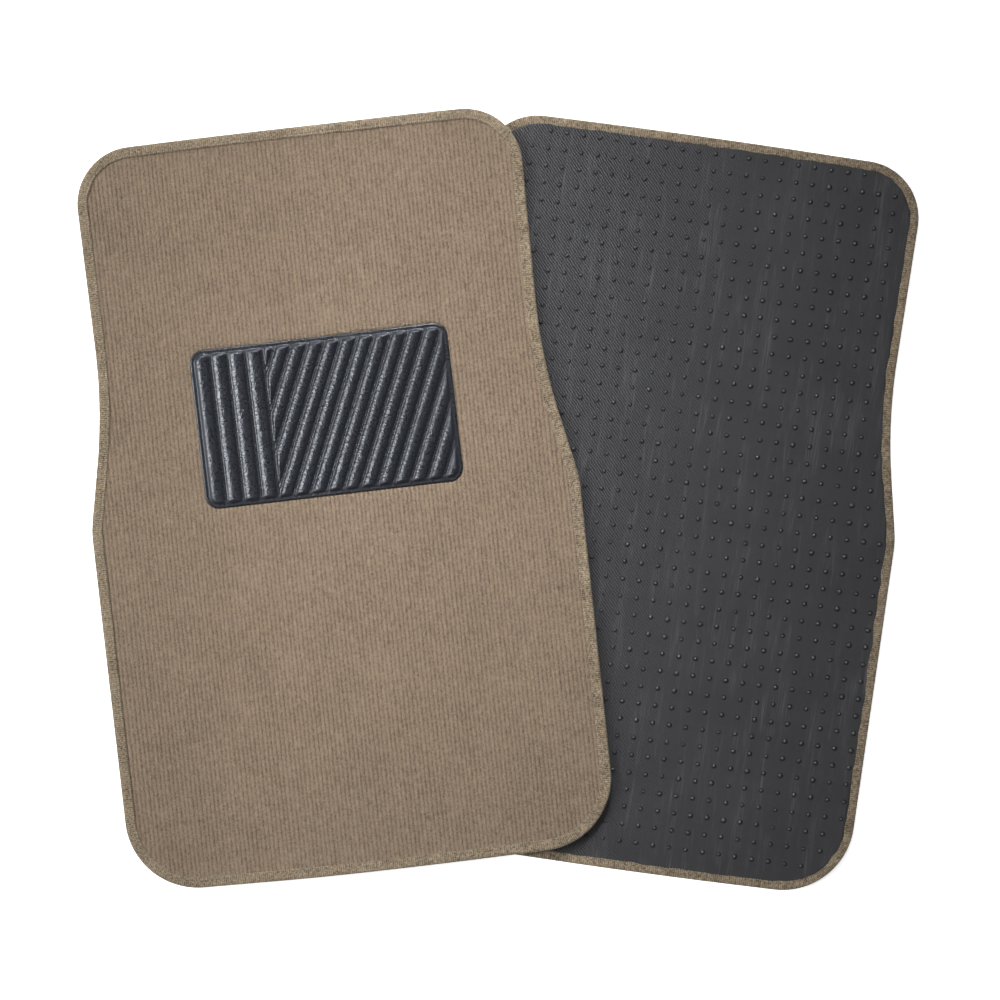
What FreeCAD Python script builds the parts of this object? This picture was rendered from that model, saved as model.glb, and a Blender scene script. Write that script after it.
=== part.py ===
import FreeCAD, Part
import math
import os

import Sketcher
from FreeCAD import Placement, Rotation, Vector

# A pair of identical carpeted floor mats for a vehicle, as they lie together. The lower mat is face
# down, so that its nibbed rubber backing shows. The upper mat is face up, half on the floor and half
# on the lower mat, which it climbs in one long gentle step.
#
# From the bottom up, a mat that lies face up is a rubber backing with nibs, a woven primary backing,
# the carpet's pile and a vinyl heel pad over a sheet of foam. A folded tape binds its edge, held by a
# lock stitch: the needle thread on the face and the bobbin thread on the back.
#
# Frame: millimetres, +Z up, +Y towards the mats' narrow front ends, +X towards the lower mat. The
# origin is on the floor, under the middle of the set. Heights within a mat count from the tips of its
# nibs, as if it lay face up.

DIMENSIONS = {
    # The outline's corners before rounding, from the mat's centre. Both halves are alike.
    "front_crown_y": (343.8, "middle of the bowed front edge"),
    "front_crown_radius": (8760, "bow of the front edge"),
    "front_corner_x": (206, "front corners"),
    "front_corner_y": (341, "front corners"),
    "front_corner_radius": (53, "front corners"),
    "waist_x": (202.5, "where the sides start to spread"),
    "waist_y": (107.5, "where the sides start to spread"),
    "waist_radius": (513, "long hollow curve of the waist"),
    "hip_x": (225, "where the sides stop spreading"),
    "hip_y": (-5, "where the sides stop spreading"),
    "hip_radius": (92, "soft corner of the hip"),
    "rear_corner_x": (223.7, "rear corners"),
    "rear_corner_y": (-340, "rear corners"),
    "rear_corner_radius": (67, "rear corners"),
    "rear_crown_y": (-344.2, "middle of the bowed rear edge"),
    "rear_crown_radius": (6880, "bow of the rear edge"),
    # Layers.
    "nib_height": (1.8, "nibs under the backing"),
    "backing_gauge": (1.4, "rubber sheet of the backing"),
    "scrim_gauge": (0.5, "woven primary backing that holds the tufts"),
    "pile_height": (3.1, "carpet pile"),
    "tape_gauge": (0.7, "woven binding tape"),
    "face_tape_width": (9.7, "tape on the face of the mat"),
    "back_tape_width": (8, "tape on the back of the mat"),
    "thread_width": (0.6, "sewing thread"),
    "thread_sink": (0.35, "how deep the stitches pull into the tape"),
    "stitch_inset": (6.6, "stitch line, from the mat's edge"),
    # Nibs.
    "nib_pitch_across": (15.3, "between columns of nibs"),
    "nib_pitch_along": (15.9, "between rows of nibs"),
    "nib_first_across": (5.9, "a column of nibs, from the long axis"),
    "nib_first_along": (6.3, "a row of nibs, from the mat's centre"),
    "nib_base_radius": (1.75, "nib where it meets the backing"),
    "nib_tip_radius": (0.6, "flat tip of a nib"),
    "nib_edge_gap": (3, "from the tape to the nearest nib's middle"),
    "nib_root": (0.2, "how far a nib's cone runs into the backing"),
    # Heel pad, from the mat's centre.
    "pad_x": (0.8, "pad's middle"),
    "pad_y": (76.2, "pad's middle"),
    "pad_turn": (0.3, "pad's turn on the mat, degrees"),
    "pad_width": (238, "across the mat"),
    "pad_length": (146, "along the mat"),
    "pad_corner_radius": (12.5, "pad's corners"),
    "pad_rim": (4.3, "flat welded rim"),
    "pad_sink": (1.2, "how deep the pad is pressed into the pile"),
    "cover_gauge": (0.5, "vinyl cover"),
    "foam_crushed": (0.3, "foam between the ribs"),
    "rib_groove": (3.4, "welded groove between two ribs"),
    "upright_ribs": (4, "ribs along the mat, at the pad's left"),
    "upright_pitch": (16.15, "between upright ribs"),
    "slant_pitch": (14.15, "between slanted ribs, square to them"),
    "slant_angle": (23.4, "slanted ribs, from the pad's length, degrees"),
    "slant_ribs": (15, "slanted ribs, some of them cut short"),
    "slant_first": (-77.6, "first slanted rib's middle, on the pad's cross axis"),
    # How the mats lie, from the middle of the set.
    "upper_x": (-149.77, "upper mat's centre"),
    "upper_y": (1.21, "upper mat's centre"),
    "upper_turn": (6.36, "upper mat's turn, degrees"),
    "lower_x": (145.28, "lower mat's centre"),
    "lower_y": (-2.29, "lower mat's centre"),
    "lower_turn": (-8, "lower mat's turn, degrees"),
    "lower_scale": (0.987, "the lower mat is cut a little smaller than the upper one"),
    "mat_gap": (0.3, "between the two mats' nibs"),
    "step_run": (150, "length of the step where the upper mat climbs"),
    "step_gap": (4, "from the top of the step to the lower mat's edge"),
    # Working sizes, larger than any piece.
    "span": (1400, "slabs and prisms, across and along"),
    "prism_reach": (40, "prisms, to each side of the mat's frame"),
}

BACKING_LOW = "Dimensions.nib_height"
BACKING_HIGH = f"{BACKING_LOW} + Dimensions.backing_gauge"
PILE_LOW = f"{BACKING_HIGH} + Dimensions.scrim_gauge"
PILE_HIGH = f"{PILE_LOW} + Dimensions.pile_height"
TAPE_LOW = f"{BACKING_LOW} - Dimensions.tape_gauge"
MAT_HIGH = f"{PILE_HIGH} + Dimensions.tape_gauge"
PAD_LOW = f"{PILE_HIGH} - Dimensions.pad_sink"
FOAM_BETWEEN_RIBS = f"{PAD_LOW} + Dimensions.foam_crushed"
COVER_BETWEEN_RIBS = f"{FOAM_BETWEEN_RIBS} + Dimensions.cover_gauge"
FOAM_HIGH = f"{MAT_HIGH} - Dimensions.cover_gauge"

STEP_RISE = f"({MAT_HIGH} + Dimensions.mat_gap)"
STEP_TOP = "(-Dimensions.hip_x * Dimensions.lower_scale - Dimensions.step_gap)"
STEP_FOOT = f"({STEP_TOP} - Dimensions.step_run)"
STEP_RADIUS = f"((Dimensions.step_run ^ 2 + {STEP_RISE} ^ 2) / (4 * {STEP_RISE}))"

START, END = 1, 2  # an edge's ends in a sketch
CENTRE = 3  # an arc's centre
ORIGIN = (-1, 1)  # a sketch's own origin

document = FreeCAD.newDocument("floor_mat_set")
sheet = document.addObject("Spreadsheet::Sheet", "Dimensions")


def fill_sheet():
    for row, (alias, (size, meaning)) in enumerate(DIMENSIONS.items(), start=1):
        sheet.set(f"A{row}", alias)
        sheet.set(f"B{row}", str(size))
        sheet.set(f"C{row}", meaning)
        sheet.setAlias(f"B{row}", alias)
    document.recompute()


def value(expression):
    """What an expression of the dimension sheet comes to."""
    return float(sheet.evalExpression(expression))


def size(alias):
    return value(f"Dimensions.{alias}")


def turned(alias):
    """A turn about the upright axis by an angle of the dimension sheet."""
    return Rotation(Vector(0, 0, 1), size(alias))


def places(first, pitch, reach):
    """A row of places at a pitch, one of them at first, out to a reach on both sides."""
    count = int(reach // pitch)
    return [first + i * pitch for i in range(-count, count + 1)]


def add(kind, name, sizes=None, **settings):
    """A new object. Its sizes are expressions of the dimension sheet."""
    item = document.addObject(kind, name)
    for key, expression in (sizes or {}).items():
        item.setExpression(key, expression)
    for key, setting in settings.items():
        setattr(item, key, setting)
    return item


def constrain(sketch, rules):
    """Add constraints, and bind each that has a size to its expression."""
    for kind, places, expression in rules:
        if expression is None:
            sketch.addConstraint(Sketcher.Constraint(kind, *places))
        else:
            index = sketch.addConstraint(Sketcher.Constraint(kind, *places, value(expression)))
            sketch.setExpression(f"Constraints[{index}]", expression)


def rounded_outline(name, corners, frame):
    """A closed outline whose straight runs meet in tangent arcs.

    Each corner is three expressions, its x, y and radius, and they go round anticlockwise.
    """
    sketch = add("Sketcher::SketchObject", name, Placement=frame)
    points = [Vector(value(x), value(y)) for x, y, _ in corners]
    arcs = []
    for i, (point, (_, _, radius)) in enumerate(zip(points, corners)):
        back = (points[i - 1] - point).normalize()
        ahead = (points[(i + 1) % len(points)] - point).normalize()
        half_angle = back.getAngle(ahead) / 2
        reach = value(radius) / math.tan(half_angle)
        to_centre = (back + ahead).normalize() * (value(radius) / math.sin(half_angle))
        centre = point + to_centre
        turns_left = ahead.cross(back).z > 0
        first, last = point + back * reach, point + ahead * reach
        if not turns_left:
            first, last = last, first
        angles = [math.atan2(p.y - centre.y, p.x - centre.x) for p in (first, last)]
        if angles[1] < angles[0]:
            angles[1] += 2 * math.pi
        circle = Part.Circle(centre, Vector(0, 0, 1), value(radius))
        arc = sketch.addGeometry(Part.ArcOfCircle(circle, *angles))
        entry, leave = (START, END) if turns_left else (END, START)
        arcs.append((arc, entry, leave, point + back * reach, point + ahead * reach))
    runs = []
    for i, (_, _, _, _, begins) in enumerate(arcs):
        ends = arcs[(i + 1) % len(arcs)][3]
        runs.append(sketch.addGeometry(Part.LineSegment(begins, ends)))
    rules = []
    for i, ((x, y, radius), (arc, entry, leave, _, _)) in enumerate(zip(corners, arcs)):
        corner = sketch.addGeometry(Part.Point(points[i]), True)
        rules += [
            ("Tangent", (runs[i - 1], END, arc, entry), None),
            ("Tangent", (arc, leave, runs[i], START), None),
            ("PointOnObject", (corner, START, runs[i - 1]), None),
            ("PointOnObject", (corner, START, runs[i]), None),
            ("Radius", (arc,), radius),
            ("DistanceX", (*ORIGIN, corner, START), x),
            ("DistanceY", (*ORIGIN, corner, START), y),
        ]
    constrain(sketch, rules)
    return sketch


def mat_outline(name, frame, scale):
    right = [
        tuple(f"{scale} * Dimensions.{corner}_{part}" for part in ("x", "y", "radius"))
        for corner in ("rear_corner", "hip", "waist", "front_corner")
    ]
    left = [(f"-1 * {x}", y, radius) for x, y, radius in right[::-1]]
    front, rear = (
        ("0", f"{scale} * Dimensions.{end}_crown_y", f"{scale} * Dimensions.{end}_crown_radius")
        for end in ("front", "rear")
    )
    return rounded_outline(name, [front, *left, rear, *right], frame)


def pad_outline(name, frame):
    radius = "Dimensions.pad_corner_radius"
    corners = [
        (f"{across} Dimensions.pad_width / 2", f"{along} Dimensions.pad_length / 2", radius)
        for across, along in (("", ""), ("-", ""), ("-", "-"), ("", "-"))
    ]
    return rounded_outline(name, corners, frame)


def lower_plan():
    """The lower mat's centre and turn on the floor, where it lies flat under the step."""
    return Placement(Vector(size("lower_x"), size("lower_y"), 0), turned("lower_turn"))


def stepped_slab(name, low, high):
    """The space between two heights in the upper mat, which climbs on to the lower one.

    Its section is straight on the floor, bends up, bends back and is straight again on top. Both
    bends are concentric for every height, so the layers keep their gauge round them.
    """
    stands_up = Placement(Vector(), Rotation(Vector(1, 0, 0), 90))
    sketch = add("Sketcher::SketchObject", f"{name}_section", Placement=lower_plan() * stands_up)
    foot, top, rise, radius = (value(x) for x in (STEP_FOOT, STEP_TOP, STEP_RISE, STEP_RADIUS))
    angle = math.asin((top - foot) / (2 * radius))
    far = size("span") / 2
    toward, quarter = Vector(0, 0, 1), math.pi / 2
    rules = []
    runs = []
    for level in (low, high):
        height = value(level)
        foot_circle = Part.Circle(Vector(foot, radius), toward, radius - height)
        top_circle = Part.Circle(Vector(top, rise - radius), toward, radius + height)
        edges = [
            Part.LineSegment(Vector(-far, height), Vector(foot, height)),
            Part.ArcOfCircle(foot_circle, -quarter, angle - quarter),
            Part.ArcOfCircle(top_circle, quarter, quarter + angle),
            Part.LineSegment(Vector(top, rise + height), Vector(far, rise + height)),
        ]
        floor_run, foot_bend, top_bend, top_run = sketch.addGeometry(edges)
        runs.append((floor_run, top_run))
        rules += [
            ("Horizontal", (floor_run,), None),
            ("Horizontal", (top_run,), None),
            ("Tangent", (floor_run, END, foot_bend, START), None),
            ("Tangent", (foot_bend, END, top_bend, END), None),
            ("Tangent", (top_bend, START, top_run, START), None),
            ("Radius", (foot_bend,), f"{STEP_RADIUS} - ({level})"),
            ("DistanceX", (*ORIGIN, foot_bend, CENTRE), STEP_FOOT),
            ("DistanceY", (*ORIGIN, foot_bend, CENTRE), STEP_RADIUS),
            ("DistanceX", (*ORIGIN, top_bend, CENTRE), STEP_TOP),
            ("DistanceY", (*ORIGIN, top_bend, CENTRE), f"{STEP_RISE} - {STEP_RADIUS}"),
            ("DistanceX", (*ORIGIN, floor_run, START), "-Dimensions.span / 2"),
            ("DistanceX", (*ORIGIN, top_run, END), "Dimensions.span / 2"),
        ]
    (low_floor, low_top), (high_floor, high_top) = runs
    for below, above, end, x, lift in (
        (low_floor, high_floor, START, -far, 0),
        (low_top, high_top, END, far, rise),
    ):
        cap = sketch.addGeometry(
            Part.LineSegment(Vector(x, value(low) + lift), Vector(x, value(high) + lift))
        )
        rules.append(("Coincident", (below, end, cap, START), None))
        rules.append(("Coincident", (cap, END, above, end), None))
    constrain(sketch, rules)
    sizes = {"LengthFwd": "Dimensions.span"}
    return add("Part::Extrusion", name, sizes, Base=sketch, DirMode="Normal", Symmetric=True, Solid=True)


def flat_slab(name, low, high, frame):
    """The space between two heights in a mat that lies flat."""
    half = size("span") / 2
    sizes = {
        "Length": "Dimensions.span",
        "Width": "Dimensions.span",
        "Height": f"{high} - ({low})",
    }
    corner = Placement(Vector(-half, -half, value(low)), Rotation())
    return add("Part::Box", name, sizes, Placement=frame * corner)


def on_the_step(across):
    """How far the upper mat has risen at a place across the lower mat, and its slope in radians."""
    foot, top, rise, radius = (value(x) for x in (STEP_FOOT, STEP_TOP, STEP_RISE, STEP_RADIUS))
    if across <= foot:
        return 0, 0
    if across >= top:
        return rise, 0
    climbing = across <= (foot + top) / 2
    slope = math.asin(((across - foot) if climbing else (top - across)) / radius)
    height = radius * (1 - math.cos(slope))
    return (height if climbing else rise - height), slope


def inset_outline(name, outline, inset):
    return add("Part::Offset2D", name, {"Value": f"-({inset})"}, Source=outline)


def prism(name, outline):
    """An upright prism through all layers of a mat."""
    sizes = {"LengthFwd": "Dimensions.prism_reach", "LengthRev": "Dimensions.prism_reach"}
    return add("Part::Extrusion", name, sizes, Base=outline, DirMode="Normal", Solid=True)


def common(name, base, tool):
    return add("Part::Common", name, Base=base, Tool=tool)


def cut(name, base, tool):
    return add("Part::Cut", name, Base=base, Tool=tool)


def fuse(name, *pieces):
    return add("Part::MultiFuse", name, Shapes=list(pieces))


class Mat:
    """One mat. Its frame is its centre on the plane of its nib tips, as if it lay face up."""

    def __init__(self, name, frame, scale, climbs):
        self.name = name
        self.frame = frame
        self.pad_frame = frame * Placement(Vector(size("pad_x"), size("pad_y"), 0), turned("pad_turn"))
        self.scale = scale
        self.climbs = climbs

    def slab(self, part, low, high):
        name = f"{self.name}_{part}_slab"
        return stepped_slab(name, low, high) if self.climbs else flat_slab(name, low, high, self.frame)

    def layer(self, part, outline, low, high):
        """The part of a prism that lies between two heights."""
        return common(f"{self.name}_{part}", outline, self.slab(part, low, high))

    def nib(self, x, y):
        """A nib's cone at a place on the mat, square to the backing."""
        tip = self.frame * Vector(x, y, 0)
        axis = self.frame.Rotation * Vector(0, 0, 1)
        if self.climbs:
            rise, slope = on_the_step((lower_plan().inverse() * tip).x)
            tip.z += rise
            axis = lower_plan().Rotation * Vector(-math.sin(slope), 0, math.cos(slope))
        taper = (size("nib_base_radius") - size("nib_tip_radius")) / size("nib_height")
        height = size("nib_height") + size("nib_root")
        root_radius = size("nib_tip_radius") + taper * height
        return Part.makeCone(size("nib_tip_radius"), root_radius, height, tip, axis)

    def nibs(self, room):
        """All the nibs whose middles lie within an outline."""
        face = Part.Face(room.Shape.Wires[0])
        half = size("span") / 2
        columns = places(size("nib_first_across"), size("nib_pitch_across"), half)
        rows = places(size("nib_first_along"), size("nib_pitch_along"), half)
        found = [
            self.nib(x, y)
            for x in columns
            for y in rows
            if face.isInside(self.frame * Vector(x, y, 0), 0.01, True)
        ]
        field = add("Part::Feature", f"{self.name}_nib_field")
        field.Shape = Part.makeCompound(found)
        return field

    def bar(self, name, width, length, frame, x, y):
        """An upright bar on the heel pad, from its low corner."""
        sizes = {"Length": width, "Width": length, "Height": "2 * Dimensions.prism_reach"}
        corner = Placement(Vector(x, y, -size("prism_reach")), Rotation())
        return add("Part::Box", f"{self.name}_{name}", sizes, Placement=frame * corner)

    def ribs(self, kind, inset):
        """The heel pad's ribs as upright prisms, each narrowed all round by an inset.

        Upright ribs stand side by side at the pad's left. The rest of the pad has slanted ribs,
        cut off by the last upright groove and by the rim.
        """
        frame = self.pad_frame
        side, margin = value(inset), value(f"Dimensions.pad_rim + {inset}")
        left, foot = -size("pad_width") / 2, -size("pad_length") / 2
        length = f"Dimensions.pad_length - 2 * Dimensions.pad_rim - 2 * {inset}"
        width = f"Dimensions.upright_pitch - Dimensions.rib_groove - 2 * {inset}"
        ribs = []
        for i in range(int(size("upright_ribs"))):
            x = left + margin + i * size("upright_pitch")
            ribs.append(self.bar(f"{kind}_upright_{i}", width, length, frame, x, foot + margin))
        width = f"Dimensions.slant_pitch - Dimensions.rib_groove - 2 * {inset}"
        lean = Rotation(Vector(0, 0, 1), -size("slant_angle"))
        spacing = size("slant_pitch") / math.cos(math.radians(size("slant_angle")))
        slanted = []
        for i in range(int(size("slant_ribs"))):
            middle = Placement(Vector(size("slant_first") + i * spacing, 0, 0), lean)
            corner = -value(width) / 2, -size("pad_width") / 2
            name = f"{kind}_slant_{i}"
            slanted.append(self.bar(name, width, "Dimensions.pad_width", frame * middle, *corner))
        taken = "Dimensions.pad_rim + Dimensions.upright_ribs * Dimensions.upright_pitch"
        width = f"Dimensions.pad_width - ({taken}) - Dimensions.pad_rim - 2 * {inset}"
        field = (frame, left + value(taken) + side, foot + margin)
        zone = self.bar(f"{kind}_slant_zone", width, length, *field)
        crossing = add("Part::Compound", f"{self.name}_{kind}_slants", Links=slanted)
        ribs.append(common(f"{self.name}_{kind}_slants_cut", crossing, zone))
        return add("Part::Compound", f"{self.name}_{kind}s", Links=ribs)

    def build(self):
        """All the pieces of the mat, in the order that they are laid up."""
        name = self.name
        outline = mat_outline(f"{name}_outline", self.frame, self.scale)
        insets = {
            "core": "Dimensions.tape_gauge",
            "stitch_outer": "Dimensions.stitch_inset - Dimensions.thread_width / 2",
            "stitch_inner": "Dimensions.stitch_inset + Dimensions.thread_width / 2",
            "face_opening": "Dimensions.face_tape_width",
            "back_opening": "Dimensions.back_tape_width",
            "nib_room": "Dimensions.face_tape_width + Dimensions.nib_edge_gap",
        }
        inner = {
            key: inset_outline(f"{name}_{key}_outline", outline, inset)
            for key, inset in insets.items()
        }
        pad = pad_outline(f"{name}_pad_outline", self.pad_frame)
        foam_edge = inset_outline(f"{name}_foam_outline", pad, "Dimensions.pad_rim")
        document.recompute()

        core = prism(f"{name}_core_prism", inner["core"])
        pad_prism = prism(f"{name}_pad_prism", pad)
        foam_prism = prism(f"{name}_foam_prism", foam_edge)
        stitch_prism = cut(
            f"{name}_stitch_prism",
            prism(f"{name}_stitch_outer_prism", inner["stitch_outer"]),
            prism(f"{name}_stitch_inner_prism", inner["stitch_inner"]),
        )

        sheet_of_rubber = self.layer("backing_sheet", core, BACKING_LOW, BACKING_HIGH)
        backing = fuse(f"{name}_backing", sheet_of_rubber, self.nibs(inner["nib_room"]))
        scrim = self.layer("primary_backing", core, BACKING_HIGH, PILE_LOW)
        pile = self.layer("whole_pile", core, PILE_LOW, PILE_HIGH)
        recess = self.layer("pad_recess", pad_prism, PAD_LOW, MAT_HIGH)
        carpet = cut(f"{name}_carpet", pile, recess)

        foam = fuse(
            f"{name}_heel_pad_foam",
            self.layer("foam_sheet", foam_prism, PAD_LOW, FOAM_BETWEEN_RIBS),
            self.layer("foam_ribs", self.ribs("foam_rib", "Dimensions.cover_gauge"), PAD_LOW, FOAM_HIGH),
        )
        moulded = fuse(
            f"{name}_cover_over_foam",
            self.layer("cover_sheet", pad_prism, PAD_LOW, COVER_BETWEEN_RIBS),
            self.layer("cover_ribs", self.ribs("cover_rib", "0"), PAD_LOW, MAT_HIGH),
        )
        cover = cut(f"{name}_heel_pad_cover", moulded, foam)

        thread_low = f"{MAT_HIGH} - Dimensions.thread_sink"
        bobbin_high = f"{TAPE_LOW} + Dimensions.thread_sink"
        needle = self.layer("binding_needle_thread", stitch_prism, thread_low, MAT_HIGH)
        bobbin = self.layer("binding_bobbin_thread", stitch_prism, TAPE_LOW, bobbin_high)
        edge = prism(f"{name}_edge_prism", outline)
        whole = self.layer("tape_block", edge, TAPE_LOW, MAT_HIGH)
        bound = self.layer("bound_edge", core, BACKING_LOW, PILE_HIGH)
        folded = cut(f"{name}_folded_tape", whole, bound)
        face_prism = prism(f"{name}_face_opening_prism", inner["face_opening"])
        back_prism = prism(f"{name}_back_opening_prism", inner["back_opening"])
        back_opening = self.layer("back_opening", back_prism, TAPE_LOW, BACKING_LOW)
        ring = cut(f"{name}_tape_ring", cut(f"{name}_open_face", folded, face_prism), back_opening)
        threads = add("Part::Compound", f"{name}_threads", Links=[needle, bobbin])
        tape = cut(f"{name}_binding_tape", ring, threads)
        return [backing, scrim, carpet, foam, cover, tape, needle, bobbin]


def main():
    fill_sheet()
    face_down = Rotation(Vector(0, 1, 0), 180)
    lower_place = Vector(size("lower_x"), size("lower_y"), value(MAT_HIGH))
    lower_frame = Placement(lower_place, turned("lower_turn") * face_down)
    lower = Mat("lower_mat", lower_frame, "Dimensions.lower_scale", climbs=False)
    upper_place = Vector(size("upper_x"), size("upper_y"), 0)
    upper = Mat("upper_mat", Placement(upper_place, turned("upper_turn")), "1", climbs=True)
    nodes = lower.build() + upper.build()
    document.recompute()

    for item in document.Objects:
        if {"Invalid", "Error"} & set(item.State):
            raise SystemExit(f"{item.Label} is {item.State}")
    for node in nodes:
        if node.Shape.isNull() or not node.Shape.isValid():
            raise SystemExit(f"{node.Label} has no sound shape")
    os.makedirs("parts", exist_ok=True)
    for node in nodes:
        node.Shape.exportStep(f"parts/{node.Label}.step")
        print(f"{node.Label}: {len(node.Shape.Solids)} solid, {node.Shape.Volume / 1000:.1f} cm3")
    bounds = FreeCAD.BoundBox()
    for node in nodes:
        bounds.add(node.Shape.optimalBoundingBox(False, False))
    print(f"middle of the set: {bounds.Center.x:.3f}, {bounds.Center.y:.3f}")
    print(f"{bounds.XLength:.1f} x {bounds.YLength:.1f} x {bounds.ZLength:.2f}, from z {bounds.ZMin:.3f}")


main()
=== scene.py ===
import math

import bpy
import numpy as np
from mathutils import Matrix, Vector


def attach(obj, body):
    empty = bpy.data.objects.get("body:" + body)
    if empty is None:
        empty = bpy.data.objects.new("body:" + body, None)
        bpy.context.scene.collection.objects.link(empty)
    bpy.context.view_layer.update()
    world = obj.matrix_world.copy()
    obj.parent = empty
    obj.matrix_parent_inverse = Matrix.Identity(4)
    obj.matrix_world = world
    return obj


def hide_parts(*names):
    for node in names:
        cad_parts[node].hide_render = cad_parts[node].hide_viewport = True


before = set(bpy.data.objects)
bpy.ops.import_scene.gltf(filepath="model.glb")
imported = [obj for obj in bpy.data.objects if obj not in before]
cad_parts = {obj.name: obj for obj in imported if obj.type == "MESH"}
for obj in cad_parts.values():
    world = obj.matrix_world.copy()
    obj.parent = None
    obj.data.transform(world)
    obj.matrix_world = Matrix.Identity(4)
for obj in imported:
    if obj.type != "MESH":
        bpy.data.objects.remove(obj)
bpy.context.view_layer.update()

# A pair of carpeted floor mats: the lower one face down, the upper one face up and partly on it.
# Sizes are millimetres, in a mat's own frame: x across, y towards the narrow front end and a height
# above the nib tips, as if the mat lay face up. Mat.to_world takes them to the CAD's frame, in metres.

MM = 0.001

# The outline's corners before rounding, as x, y and radius, going anticlockwise from the front.
RIGHT_CORNERS = [(223.7, -340, 67), (225, -5, 92), (202.5, 107.5, 513), (206, 341, 53)]
LEFT_CORNERS = [(-x, y, radius) for x, y, radius in RIGHT_CORNERS[::-1]]
OUTLINE = [(0, 343.8, 8760), *LEFT_CORNERS, (0, -344.2, 6880), *RIGHT_CORNERS]

# Heights of the layers.
NIB_HEIGHT = 1.8
BACKING_TOP = NIB_HEIGHT + 1.4
PILE_FOOT = BACKING_TOP + 0.5
PILE_TOP = PILE_FOOT + 3.1
TAPE_GAUGE = 0.7
TAPE_FOOT = NIB_HEIGHT - TAPE_GAUGE
MAT_TOP = PILE_TOP + TAPE_GAUGE

FACE_TAPE_WIDTH = 9.7
BACK_TAPE_WIDTH = 8
STITCH_INSET = 6.6
STITCH_PITCH = 4.2
THREAD_RADIUS = 0.36
RIB_PITCH = 3.9
NIB_PITCH = (15.3, 15.9)
NIB_FIRST = (5.9, 6.3)
NIB_RADIUS = 2.4

# The heel pad, from the mat's centre.
PAD_CENTRE = (0.8, 76.2)
PAD_TURN = math.radians(0.3)
PAD_SIZE = (238, 146)
PAD_CORNER = 12.5
PAD_RIM = 4.3
PAD_SINK = 1.2
COVER_GAUGE = 0.5
FOAM_CRUSHED = 0.3
RIB_GROOVE = 2.6
RIB_END = 2.6
BEAD_HEIGHT = 0.6
LIP_HEIGHT = 0.25
EDGE_DROP = 0.35
UPRIGHT_RIBS, UPRIGHT_PITCH = 4, 16.15
SLANT_PITCH, SLANT_FIRST, SLANT_ANGLE = 14.15, -77.6, math.radians(23.4)

# The step where the upper mat climbs on to the lower one, across the lower mat.
LOWER_SCALE = 0.987
STEP_RISE = MAT_TOP + 0.3
STEP_RUN = 150
STEP_TOP = -225 * LOWER_SCALE - 4
STEP_FOOT = STEP_TOP - STEP_RUN
STEP_RADIUS = (STEP_RUN**2 + STEP_RISE**2) / (4 * STEP_RISE)


def climb(across, height):
    """How high a point of the upper mat lies, from its place across the lower mat."""
    lean = STEP_RUN / 2 / STEP_RADIUS
    near, far = STEP_RADIUS - height, STEP_RADIUS + height
    bending_up = STEP_RADIUS - np.sqrt(near**2 - np.clip(across - STEP_FOOT, 0, STEP_RUN) ** 2)
    left_to_go = np.clip(STEP_TOP - across, 0, STEP_RUN)
    bending_back = STEP_RISE - STEP_RADIUS + np.sqrt(far**2 - left_to_go**2)
    return np.where(across < STEP_FOOT + near * lean, bending_up, bending_back)


class Mat:
    """A mat's body, place, turn and scale, and whether it lies face up.

    puff is how far the heel pad's ribs stand above the binding tape.
    """

    def __init__(self, body, centre, turn, scale, face_up, puff):
        self.body = body
        self.centre = centre
        self.turn = math.radians(turn)
        self.scale = scale
        self.face_up = face_up
        self.puff = puff

    def to_world(self, points):
        """Points of the mat's own frame, in the CAD's frame, with the upper mat bent over the lower."""
        x, y, height = points.T
        if not self.face_up:
            x = -x
        cos, sin = math.cos(self.turn), math.sin(self.turn)
        world_x = self.centre[0] + x * cos - y * sin
        world_y = self.centre[1] + x * sin + y * cos
        if self.face_up:
            cos, sin = math.cos(LOWER.turn), math.sin(LOWER.turn)
            across = (world_x - LOWER.centre[0]) * cos + (world_y - LOWER.centre[1]) * sin
            z = climb(across, height)
        else:
            z = MAT_TOP - height
        return np.stack([world_x, world_y, z], axis=1) * MM


LOWER = Mat("lower_mat", (145.28, -2.29), -8, LOWER_SCALE, face_up=False, puff=0)
UPPER = Mat("upper_mat", (-149.77, 1.21), 6.36, 1, face_up=True, puff=1.6)


# --- outlines -------------------------------------------------------------------------------


def rounded(corners, step):
    """Points about a step apart round a closed outline with rounded corners, and their inward normals."""
    tips = np.array([corner[:2] for corner in corners], float)
    found = []
    for i, (_, _, radius) in enumerate(corners):
        back = tips[i - 1] - tips[i]
        ahead = tips[(i + 1) % len(corners)] - tips[i]
        back, ahead = back / np.linalg.norm(back), ahead / np.linalg.norm(ahead)
        half_angle = math.acos(back @ ahead) / 2
        inward = (back + ahead) / np.linalg.norm(back + ahead)
        centre = tips[i] + inward * radius / math.sin(half_angle)
        first = tips[i] + back * radius / math.tan(half_angle) - centre
        last = tips[i] + ahead * radius / math.tan(half_angle) - centre
        begins, ends = (math.atan2(v[1], v[0]) for v in (first, last))
        sweep = (ends - begins + math.pi) % (2 * math.pi) - math.pi
        angles = begins + sweep * np.linspace(0, 1, 80)
        found.append(centre + radius * np.stack([np.cos(angles), np.sin(angles)], axis=1))
    line = np.concatenate(found)
    line = np.concatenate([line, line[:1]])
    along = np.concatenate([[0], np.cumsum(np.linalg.norm(np.diff(line, axis=0), axis=1))])
    count = round(along[-1] / step)
    at = np.arange(count) * along[-1] / count
    points = np.stack([np.interp(at, along, line[:, k]) for k in range(2)], axis=1)
    tangent = np.roll(points, -1, axis=0) - np.roll(points, 1, axis=0)
    tangent /= np.linalg.norm(tangent, axis=1)[:, None]
    return points, np.stack([-tangent[:, 1], tangent[:, 0]], axis=1)


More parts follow.
